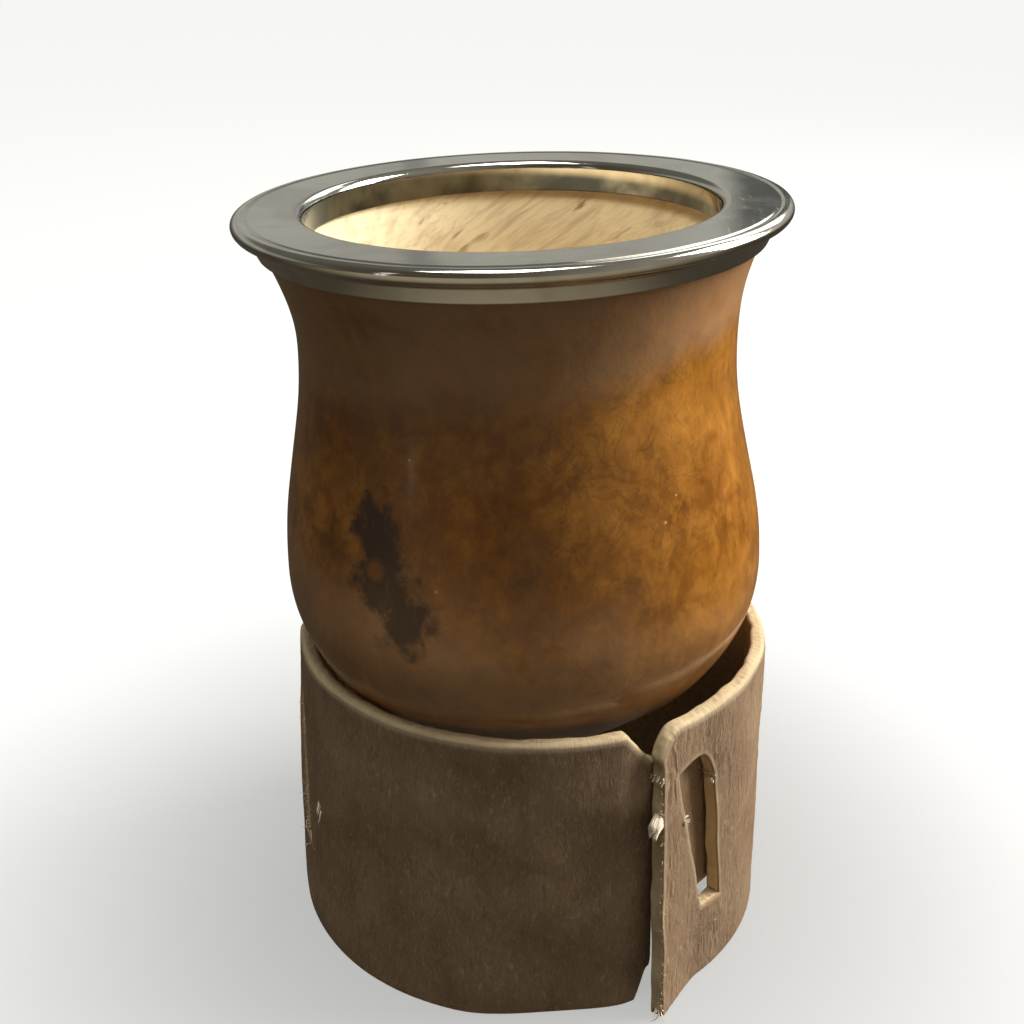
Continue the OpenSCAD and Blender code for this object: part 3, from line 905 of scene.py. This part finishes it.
class Paint:
    """The node tree of one finish, with short ways to add to it."""

    def __init__(self, name, world=None):
        if world is None:
            self.owner = bpy.data.materials.new(name)
        else:
            self.owner = world
        self.owner.use_nodes = True
        self.tree = self.owner.node_tree
        self.tree.nodes.clear()

    def node(self, kind, settings=None, sockets=None, output=0):
        """Adds a node of a kind: its settings are set first, then the values or links
        of its sockets. Returns one of its outputs."""
        made = self.tree.nodes.new("ShaderNode" + kind)
        for name, value in (settings or {}).items():
            if name == "stops":
                self.set_stops(made.color_ramp.elements, value)
            else:
                setattr(made, name, value)
        for name, value in (sockets or {}).items():
            if isinstance(value, Wire):
                self.tree.links.new(value.socket, made.inputs[name])
            else:
                made.inputs[name].default_value = value
        return Wire(self, made.outputs[output]) if len(made.outputs) else None

    def set_stops(self, elements, stops):
        """Gives a colour ramp its stops, as positions and colours."""
        while len(elements) < len(stops):
            elements.new(1.0)
        for element, (position, colour) in zip(elements, stops):
            element.position = position
            element.color = (*colour, 1)

    def mix(self, factor, a, b, blend="MIX"):
        """Colour a turned into b by a factor, in the way that blend names."""
        ends = [v if isinstance(v, Wire) else (*v, 1) for v in (a, b)]
        return self.node("Mix", {"data_type": "RGBA", "blend_type": blend},
                         {0: factor, 6: ends[0], 7: ends[1]}, output=2)

    def where(self):
        """The place on the object, in metres."""
        return self.node("TexCoord", output=3)

    def surface(self):
        """The piece's own map, in metres along and up."""
        return self.node("UVMap", {"uv_map": "surface"})

    def mark(self, name):
        """A number kept on the piece's points."""
        return self.node("Attribute", {"attribute_name": name}, output=2)

    def stretch(self, vector, *shares):
        """A place with each of its three numbers scaled by a share."""
        return self.node("VectorMath", {"operation": "MULTIPLY"}, {0: vector, 1: shares})

    def axis(self, vector, number):
        """One of the three numbers of a place, by its number from 0."""
        return self.node("SeparateXYZ", None, {0: vector}, output=number)

    def noise(self, vector, size, detail=3.0, rough=0.5, warp=0.0):
        """Cloudy noise from 0 to 1, with features of a size in metres."""
        return self.node("TexNoise", None, {"Vector": vector, "Scale": 1 / size,
                                            "Detail": detail, "Roughness": rough,
                                            "Distortion": warp})

    def away(self, vector, place):
        """Distance from a place on the object."""
        return self.node("VectorMath", {"operation": "DISTANCE"}, {0: vector, 1: place},
                         output=1)

    def bump(self, height, depth, strength=1.0, below=None):
        """A bump of a depth in metres over another one."""
        sockets = {"Height": height, "Distance": depth, "Strength": strength}
        if below is not None:
            sockets["Normal"] = below
        return self.node("Bump", None, sockets)

    def finish(self, colour, roughness, metallic=0.0, normal=None, fixed=None):
        """Ends the tree in a Principled shader."""
        sockets = {"Base Color": colour if isinstance(colour, Wire) else (*colour, 1),
                   "Roughness": roughness, "Metallic": metallic}
        if normal is not None:
            sockets["Normal"] = normal
        sockets.update(fixed or {})
        shader = self.node("BsdfPrincipled", None, sockets)
        self.node("OutputMaterial", None, {"Surface": shader})
        return self.owner


# ---- finishes ----------------------------------------------------------------

def on_skin(degrees_right, height, gourd, leather):
    """A place on the gourd's skin, by degrees to the right of the front and height."""
    heading = math.radians(degrees_right - 90)
    radius = float(skin_radius(height * MM, gourd))
    point = np.array([[radius * math.cos(heading), radius * math.sin(heading), height * MM]])
    return tuple(leaned(point, gourd, leather)[0])


def lacquered_gourd(gourd, leather):
    """Lacquered skin: clouds of amber and olive brown, dark blotches with a pale eye,
    thin wandering contour lines, a grey bloom near the mouth and the stand, fine
    upright hairlines, a few pale specks, and painted light that makes the tone
    lighter towards the right."""
    paint = Paint("lacquered gourd skin")
    where = paint.where()
    height = paint.axis(where, 2)
    side = paint.axis(where, 0)

    broad = paint.noise(where, 0.030, 3.0, 0.5, 0.2)
    cloud = paint.noise(where, 0.0070, 5.0, 0.66, 0.5)
    fine = paint.noise(paint.stretch(where, 1, 1, 0.75), 0.0021, 4.0, 0.6, 0.2)
    # Painted light: the tone is made lighter towards the right side, where the key light
    # falls.
    painted_light_right = side.rise(-0.008, 0.036)
    tone = broad * 0.42 + cloud * 0.40 + fine * 0.26 + painted_light_right * 0.05 - 0.035
    colour = paint.node("ValToRGB", {"stops": [
        (0.22, gourd.umber), (0.35, gourd.olive), (0.49, gourd.brown), (0.70, gourd.amber)]},
        {0: tone})

    torn = paint.noise(where, 0.0055, 6.0, 0.62, 0.4) - 0.5

    def blotch(degrees_right, level, size):
        """A patch that fades out softly from its middle."""
        place = on_skin(degrees_right, level, gourd, leather)
        return paint.away(where, place).fall(0.0, size * 2.0 * MM)

    dark = blotch(-31, 77.5, 7.2).most(blotch(-34.5, 84, 5.6)).most(blotch(-25, 70.5, 5.4))
    dark = (dark + torn * 1.9).rise(0.42, 0.86)
    faint = (blotch(-46, 80, 6.4).most(blotch(-4, 106.5, 4.4)) + torn * 1.9).rise(0.45, 1.1)
    eye = (blotch(-33, 78.5, 2.0) + torn * 1.2).rise(0.45, 0.9)
    colour = paint.mix(faint * 0.45, colour, gourd.umber)
    colour = paint.mix(dark * 0.90, colour, gourd.umber)
    colour = paint.mix(eye * 0.7, colour, gourd.brown)

    field = paint.noise(where, 0.0075, 3.0, 0.55, 0.6)
    line = abs(field - 0.53).fall(0.0, 0.022) + abs(field - 0.61).fall(0.0, 0.016)
    right_of_centre = paint.away(where, on_skin(26, 88, gourd, leather)).fall(0.010, 0.024)
    patch = paint.noise(where, 0.02, 2.0).rise(0.52, 0.66).most(right_of_centre)
    colour = paint.mix(line * patch * 0.26, colour, gourd.umber)

    wave = (paint.noise(where, 0.022, 2.0) - 0.5) * 0.016
    upper = (height + wave * 0.8 - side * 0.18).rise(0.100, 0.108)
    lower = (height + wave * 1.1 + side * 0.10).fall(0.063, 0.079)
    lower = lower * (0.85 - side.rise(0.005, 0.03) * 0.42)
    bloom = upper.most(lower) * paint.noise(where, 0.009, 4.0).rise(0.08, 0.55)
    bloom = bloom * (1 - dark * 0.8)
    colour = paint.mix(bloom * 0.58, colour, gourd.haze)

    streak = paint.noise(paint.stretch(where, 1, 1, 0.05), 0.0011, 3.0, 0.6)
    colour = paint.mix((streak - 0.5).rise(0.08, 0.26) * 0.10, colour, gourd.haze)
    speck = paint.node("TexVoronoi", None, {"Vector": where, "Scale": 210.0}).fall(0.03, 0.07)
    rare = paint.noise(where, 0.009, 1.0).rise(0.62, 0.68)
    colour = paint.mix(speck * rare * 0.5, colour, gourd.bare)

    roughness = 0.30 + bloom * 0.16 + (cloud - 0.5) * 0.12 + dark * 0.05
    pores = paint.noise(where, 0.0016, 3.0)
    normal = paint.bump(cloud, 0.0004, 0.35)
    normal = paint.bump(pores, 0.00006, 0.5, normal)
    return paint.finish(colour, roughness, 0.0, normal, {
        "IOR": 1.4, "Coat Weight": 0.45, "Coat Roughness": 0.12, "Coat IOR": 1.45})


def bare_gourd(gourd):
    """Scraped pale wood: fine slanting fibres, brown flecks and scratches."""
    paint = Paint("bare gourd wood")
    where = paint.where()
    turned = paint.node("Mapping", None, {"Vector": where, "Rotation": (0.0, 0.62, 0.0)})
    fibre = paint.noise(paint.stretch(turned, 0.12, 0.5, 1.0), 0.0012, 5.0, 0.65, 0.4)
    cloud = paint.noise(where, 0.012, 3.0)
    dash = paint.noise(paint.stretch(turned, 0.22, 0.6, 1.3), 0.0026, 3.0, 0.5, 0.8)
    few = paint.noise(where, 0.008, 2.0).rise(0.42, 0.6)
    colour = paint.mix((fibre - 0.42).rise(0.0, 0.3) * 0.35, gourd.bare, gourd.fleck)
    colour = paint.mix(cloud.rise(0.4, 0.75) * 0.18, colour, gourd.fleck)
    colour = paint.mix(dash.rise(0.60, 0.70) * few * 0.75, colour, gourd.fleck)
    under_liner = paint.axis(where, 2).rise(0.1185, 0.1196)
    colour = paint.mix(under_liner * 0.5, colour, gourd.fleck)
    normal = paint.bump(fibre, 0.00025, 0.6)
    return paint.finish(colour, 0.62 + fibre * 0.15, 0.0, normal)


def polished_metal(gourd, rim, leather):
    """Polished nickel silver: soft duller zones, hair scratches and faint finger haze.
    Inside the mouth, below the lip and within the bore, its colour is painted shade,
    cool and dark, darkest in patches at the back."""
    paint = Paint("polished nickel silver")
    where = paint.where()
    zone = paint.noise(where, 0.013, 3.0, 0.55, 0.7)
    haze = paint.noise(where, 0.0045, 4.0, 0.6)
    scratch = paint.noise(paint.stretch(where, 1.0, 0.07, 1.0), 0.0005, 2.0)
    cross = paint.noise(paint.stretch(where, 0.09, 1.0, 1.0), 0.0007, 2.0)
    lines = scratch.rise(0.66, 0.74) + cross.rise(0.68, 0.76)
    colour = paint.mix(zone.rise(0.35, 0.7) * 0.45, rim.metal, rim.dull)
    top = gourd.mouth_height + rim.sheet
    below_lip = paint.axis(where, 2).fall(top - 2.6 * MM, top - 0.9 * MM)
    axis_point = np.array([[0.0, 0.0, gourd.mouth_height]])
    middle = tuple(leaned(axis_point, gourd, leather)[0])
    within = paint.away(where, middle).fall(rim.bore_radius + 1.2 * MM,
                                            rim.bore_radius + 2.2 * MM)
    # Painted shade: inside the bore and below the lip, the metal's colour is made cool and
    # dark, darkest in patches at the back, standing in for the shadowed wall it mirrors.
    far = paint.axis(where, 1).rise(0.0, 0.022)
    liner_painted_shade = within * below_lip * (0.75 + zone.rise(0.35, 0.6) * 0.2)
    painted_shade_at_back = far * (0.45 + zone.rise(0.3, 0.55) * 0.5)
    shade = paint.mix(painted_shade_at_back, rim.shade, tuple(0.25 * level for level in rim.shade))
    colour = paint.mix(liner_painted_shade, colour, shade)
    roughness = 0.085 + zone.rise(0.4, 0.75) * 0.07 + haze.rise(0.5, 0.8) * 0.05
    roughness = roughness + lines * 0.06
    normal = paint.bump(haze, 0.00002, 0.5)
    normal = paint.bump(lines, 0.000006, 0.5, normal)
    return paint.finish(colour, roughness, 1.0, normal)


def raw_leather(leather):
    """Thick vegetable-tanned hide: a brown grain side with upright pale and dark
    streaks, worn paler at its edges, an ochre line under the grain, a cream layered
    core at the cuts and a rough flesh side."""
    paint = Paint("raw leather hide")
    where = paint.where()
    flat = paint.surface()
    depth = paint.mark("depth")
    edge = paint.mark("edge")
    up = paint.axis(flat, 1)

    bent = paint.noise(paint.stretch(flat, 0.5, 1.0, 1.0), 0.0035, 2.0)
    flat = paint.node("VectorMath", {"operation": "ADD"}, {0: flat, 1: paint.node(
        "CombineXYZ", None, {0: (bent - 0.5) * 0.0016})})
    long_streak = paint.noise(paint.stretch(flat, 1.0, 0.26, 1.0), 0.00075, 5.0, 0.62, 1.1)
    short_streak = paint.noise(paint.stretch(flat, 1.0, 0.3, 1.0), 0.00042, 4.0, 0.6, 1.2)
    cloud = paint.noise(flat, 0.012, 4.0, 0.55, 0.6)
    wide = paint.noise(paint.stretch(flat, 1.0, 0.2, 1.0), 0.006, 3.0)
    grain = paint.mix(cloud.rise(0.3, 0.7) * 0.4 + wide.rise(0.45, 0.75) * 0.3,
                      leather.grain, leather.grain_dark)
    grain = paint.mix(long_streak.rise(0.50, 0.72) * 0.55, grain, leather.grain_dark)
    pale = short_streak.rise(0.52, 0.72) * 0.4 + long_streak.fall(0.28, 0.44) * 0.45
    grain = paint.mix(pale, grain, leather.grain_light)
    mottle = paint.noise(where, 0.0016, 3.0)
    grain = paint.mix(mottle.rise(0.55, 0.8) * 0.22, grain, leather.grain_dark)

    worn = (edge + (short_streak - 0.5) * 1.6).fall(0.05, 0.75) * up.rise(0.0, 0.02)
    grain = paint.mix(worn * 0.55, grain, leather.grain_light)

    layers = paint.noise(paint.node("CombineXYZ", None, {
        0: paint.axis(where, 0) * 0.3, 1: paint.axis(where, 2) * 0.3, 2: depth * 0.003}),
        0.0006, 4.0, 0.6, 0.3)
    core = paint.mix(layers.rise(0.4, 0.75) * 0.4, leather.cut, leather.flesh)
    core = paint.mix(paint.noise(where, 0.003, 3.0).rise(0.5, 0.8) * 0.3, core, leather.grain)
    flesh = paint.mix(paint.noise(where, 0.0011, 5.0, 0.7).rise(0.3, 0.8) * 0.6,
                      leather.flesh, leather.grain_dark)

    under_grain = depth.rise(0.015, 0.035) * depth.fall(0.07, 0.13)
    colour = paint.mix(depth.rise(0.02, 0.06), grain, core)
    colour = paint.mix(under_grain * up.fall(0.043, 0.0475) * 0.75, colour, leather.ochre)
    colour = paint.mix(depth.rise(0.93, 0.99), colour, flesh)

    on_face = depth.fall(0.01, 0.05)
    roughness = 0.74 - on_face * (0.12 + long_streak * 0.14) + cloud * 0.06
    normal = paint.bump(long_streak, 0.00017, 0.85)
    normal = paint.bump(short_streak, 0.00012, 0.7, normal)
    normal = paint.bump(paint.noise(where, 0.0005, 4.0, 0.7), 0.00007, 0.6, normal)
    return paint.finish(colour, roughness, 0.0, normal, {"Specular IOR Level": 0.38})


def loose_fibre(leather):
    """Pale frayed fibres, a little darker in patches."""
    paint = Paint("loose hide fibre")
    where = paint.where()
    patch = paint.noise(where, 0.0012, 3.0)
    colour = paint.mix(patch.rise(0.35, 0.7) * 0.5, leather.fibre, leather.cut)
    normal = paint.bump(paint.noise(where, 0.0003, 2.0), 0.00003, 0.5)
    return paint.finish(colour, 0.65 + patch * 0.2, 0.0, normal)


def pale_floor(stage):
    """A plain pale floor that glows of itself to stay evenly bright, with a painted shadow:
    its glow is halved near the cup.
    """
    paint = Paint("pale floor")
    tone = stage.floor_tint
    where = paint.where()
    # Painted shadow: the floor's glow is halved under and beside the cup, rising to full by
    # about 0.15 m from its middle.
    spread = paint.away(paint.stretch(where, 1, 1, 0), (0.0, 0.0, 0.0)).rise(0.035, 0.15)
    near = tuple(0.5 * level for level in tone)
    glow_with_painted_shadow = paint.mix(spread, near, tone)
    body = tuple(0.16 * level for level in tone)
    glow = {"Emission Color": glow_with_painted_shadow, "Emission Strength": stage.floor_glow}
    return paint.finish(body, 0.9, 0.0, None, glow)


def room_light(stage):
    """Light from all round: grey behind, paler on the right, dim and warm in front and
    dark below, with one dark door behind on the right."""
    world = bpy.data.worlds.new("studio room")
    paint = Paint("studio room", world)
    way = paint.node("TexCoord", output=0)
    x, y, z = (paint.axis(way, k) for k in range(3))
    behind = y.rise(-0.5, 0.6)
    right = x.rise(-0.3, 0.9)
    tone = paint.mix(behind, (0.085, 0.074, 0.056), (0.15, 0.15, 0.14))
    wall = behind * z.rise(0.05, 0.12) * z.fall(0.26, 0.42)
    wave = paint.noise(way, 0.09, 2.0).rise(0.35, 0.65)
    tone = paint.mix(wall * (0.80 + wave * 0.2), tone, (0.47, 0.47, 0.43))
    tone = paint.mix(right * 0.35, tone, (0.75, 0.73, 0.68))
    past = x - y * 0.12
    door = past.rise(0.0, 0.025) * past.fall(0.16, 0.20) * y.rise(0.2, 0.5)
    post = (past + 0.22).rise(0.0, 0.01) * (past + 0.22).fall(0.015, 0.03) * y.rise(0.2, 0.5)
    tone = paint.mix(door.most(post * 0.5) * z.fall(0.5, 0.6) * 0.88, tone,
                     (0.05, 0.055, 0.06))
    table = paint.mix(y.rise(-0.7, 0.3), (0.38, 0.33, 0.24), (0.07, 0.06, 0.045))
    tone = paint.mix(z.fall(-0.10, -0.02), tone, table)
    diffuse = paint.node("LightPath", output=2)
    below = z.fall(-0.06, 0.10) * diffuse
    tone = paint.mix(below * 0.92, tone, (0.012, 0.010, 0.008))
    tone = paint.mix(paint.node("LightPath", output=0), tone, (0.90, 0.90, 0.89))
    shader = paint.node("Background", None, {"Color": tone, "Strength": stage.room})
    paint.node("OutputWorld", None, {"Surface": shader})
    return world


# ---- stage -------------------------------------------------------------------

def softbox(name, place, width, height, power, colour):
    """A rectangular area light at a place, turned to face the cup."""
    data = bpy.data.lights.new(name, "AREA")
    data.shape = "RECTANGLE"
    data.size = width
    data.size_y = height
    data.energy = power
    data.color = colour
    light = bpy.data.objects.new(name, data)
    bpy.context.scene.collection.objects.link(light)
    away = unit(np.array(place) - np.array(LIT_PLACE))
    side = unit(np.cross([0.0, 0.0, 1.0], away))
    up = np.cross(away, side)
    light.matrix_world = Matrix([[*row, at] for row, at in zip(np.stack(
        [side, up, away], axis=1).tolist(), place)] + [[0, 0, 0, 1]])
    return light


def make_camera(stage):
    """The camera: looks along +Y, turned by its yaw, pitch and roll."""
    data = bpy.data.cameras.new("camera")
    data.lens = stage.lens
    data.sensor_width = 36.0
    data.clip_start = 0.01
    data.clip_end = 100.0
    camera = bpy.data.objects.new("camera", data)
    bpy.context.scene.collection.objects.link(camera)
    ahead = np.array([math.sin(stage.yaw) * math.cos(stage.pitch),
                      math.cos(stage.yaw) * math.cos(stage.pitch), -math.sin(stage.pitch)])
    right = np.array([math.cos(stage.yaw), -math.sin(stage.yaw), 0.0])
    up = np.cross(right, ahead)
    across = math.cos(stage.roll) * right + math.sin(stage.roll) * up
    upward = -math.sin(stage.roll) * right + math.cos(stage.roll) * up
    axes = np.stack([across, upward, -ahead], axis=1).tolist()
    place = (stage.camera_x, stage.camera_y, stage.camera_z)
    camera.matrix_world = Matrix([[*row, at] for row, at in zip(axes, place)] + [[0, 0, 0, 1]])
    bpy.context.scene.camera = camera
    return camera


def make_floor(stage):
    """A level square floor, with its face upwards."""
    half = stage.floor_size
    side = np.linspace(-half, half, FLOOR_LINES)
    x, y = np.meshgrid(side, side, indexing="ij")
    points = np.stack([x, y, 0 * x], axis=-1).reshape(-1, 3)
    numbers = np.arange(len(points)).reshape(x.shape)
    floor = solid("pale_floor", points, grid_quads(numbers))
    floor.data.materials.append(pale_floor(stage))
    floor.visible_diffuse = False
    floor.visible_glossy = False
    return floor


# ---- operators ---------------------------------------------------------------

def seat(piece, slot, *nodes):
    """Rides a piece on its body and hides the nodes it stands for; its slot is not used."""
    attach(piece, BODY)
    if nodes:
        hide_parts(*nodes)
    return piece


class CUP_OT_gourd(bpy.types.Operator):
    """Make the hollow gourd with its lacquered skin and bare inner wall"""
    bl_idname = "gourd_cup.gourd"
    bl_label = "Gourd"

    def execute(self, context):
        scene = context.scene
        piece, bare = make_gourd(scene.cup_gourd, scene.cup_rim, scene.cup_leather)
        piece.data.materials.append(lacquered_gourd(scene.cup_gourd, scene.cup_leather))
        piece.data.materials.append(bare_gourd(scene.cup_gourd))
        piece.data.polygons.foreach_set("material_index", bare.astype(np.int32))
        seat(piece, "lacquered_gourd", "gourd")
        return {"FINISHED"}


class CUP_OT_rim(bpy.types.Operator):
    """Make the polished metal rim round the mouth"""
    bl_idname = "gourd_cup.rim"
    bl_label = "Mouth Rim"

    def execute(self, context):
        scene = context.scene
        piece = make_rim(scene.cup_gourd, scene.cup_rim, scene.cup_leather)
        finish = polished_metal(scene.cup_gourd, scene.cup_rim, scene.cup_leather)
        piece.data.materials.append(finish)
        seat(piece, "polished_metal", "metal_rim")
        return {"FINISHED"}


class CUP_OT_panels(bpy.types.Operator):
    """Make the three interlocking leather panels of the stand"""
    bl_idname = "gourd_cup.panels"
    bl_label = "Leather Panels"

    def execute(self, context):
        scene = context.scene
        hide = raw_leather(scene.cup_leather)
        for name in PANELS:
            piece = make_panel(name, scene.cup_gourd, scene.cup_leather)
            piece.data.materials.append(hide)
            seat(piece, "raw_leather", "leather_" + name)
        return {"FINISHED"}


class CUP_OT_fibres(bpy.types.Operator):
    """Make the loose fibres at the cuts of the leather"""
    bl_idname = "gourd_cup.fibres"
    bl_label = "Loose Fibres"

    def execute(self, context):
        scene = context.scene
        piece = make_fibres(scene.cup_gourd, scene.cup_leather, scene.cup_stage.seed)
        piece.data.materials.append(loose_fibre(scene.cup_leather))
        seat(piece, "raw_leather")
        return {"FINISHED"}


class CUP_OT_stage(bpy.types.Operator):
    """Make the floor, the camera and the lights"""
    bl_idname = "gourd_cup.stage"
    bl_label = "Stage"

    def execute(self, context):
        stage = context.scene.cup_stage
        make_camera(stage)
        make_floor(stage)
        context.scene.world = room_light(stage)
        context.scene.view_settings.view_transform = "Standard"
        for name, place, width, height, power, colour in LIGHTS:
            softbox(name, place, width, height, getattr(stage, power), colour)
        return {"FINISHED"}


class CUP_PT_panel(bpy.types.Panel):
    """The cup's pieces and their settings"""
    bl_idname = "CUP_PT_panel"
    bl_label = "Gourd Cup"
    bl_space_type = "VIEW_3D"
    bl_region_type = "UI"
    bl_category = "Gourd Cup"

    def draw(self, context):
        for operator, group in STEPS:
            box = self.layout.box()
            box.operator(operator.bl_idname)
            settings = getattr(context.scene, group)
            for name in type(settings).__annotations__:
                box.prop(settings, name)


GROUPS = {
    "cup_gourd": GourdSettings,
    "cup_rim": RimSettings,
    "cup_leather": LeatherSettings,
    "cup_stage": StageSettings,
}
STEPS = [
    (CUP_OT_stage, "cup_stage"),
    (CUP_OT_gourd, "cup_gourd"),
    (CUP_OT_rim, "cup_rim"),
    (CUP_OT_panels, "cup_leather"),
    (CUP_OT_fibres, "cup_leather"),
]
CLASSES = [*GROUPS.values(), *(operator for operator, _ in STEPS), CUP_PT_panel]


def register():
    """Registers the classes, and a group of settings for each kind of piece."""
    for cls in CLASSES:
        bpy.utils.register_class(cls)
    for name, group in GROUPS.items():
        setattr(bpy.types.Scene, name, PointerProperty(type=group))


def unregister():
    """Takes away what register added."""
    for name in GROUPS:
        delattr(bpy.types.Scene, name)
    for cls in reversed(CLASSES):
        bpy.utils.unregister_class(cls)


def main():
    register()
    for operator, _ in STEPS:
        group, name = operator.bl_idname.split(".")
        getattr(getattr(bpy.ops, group), name)()


if __name__ == "__main__":
    main()
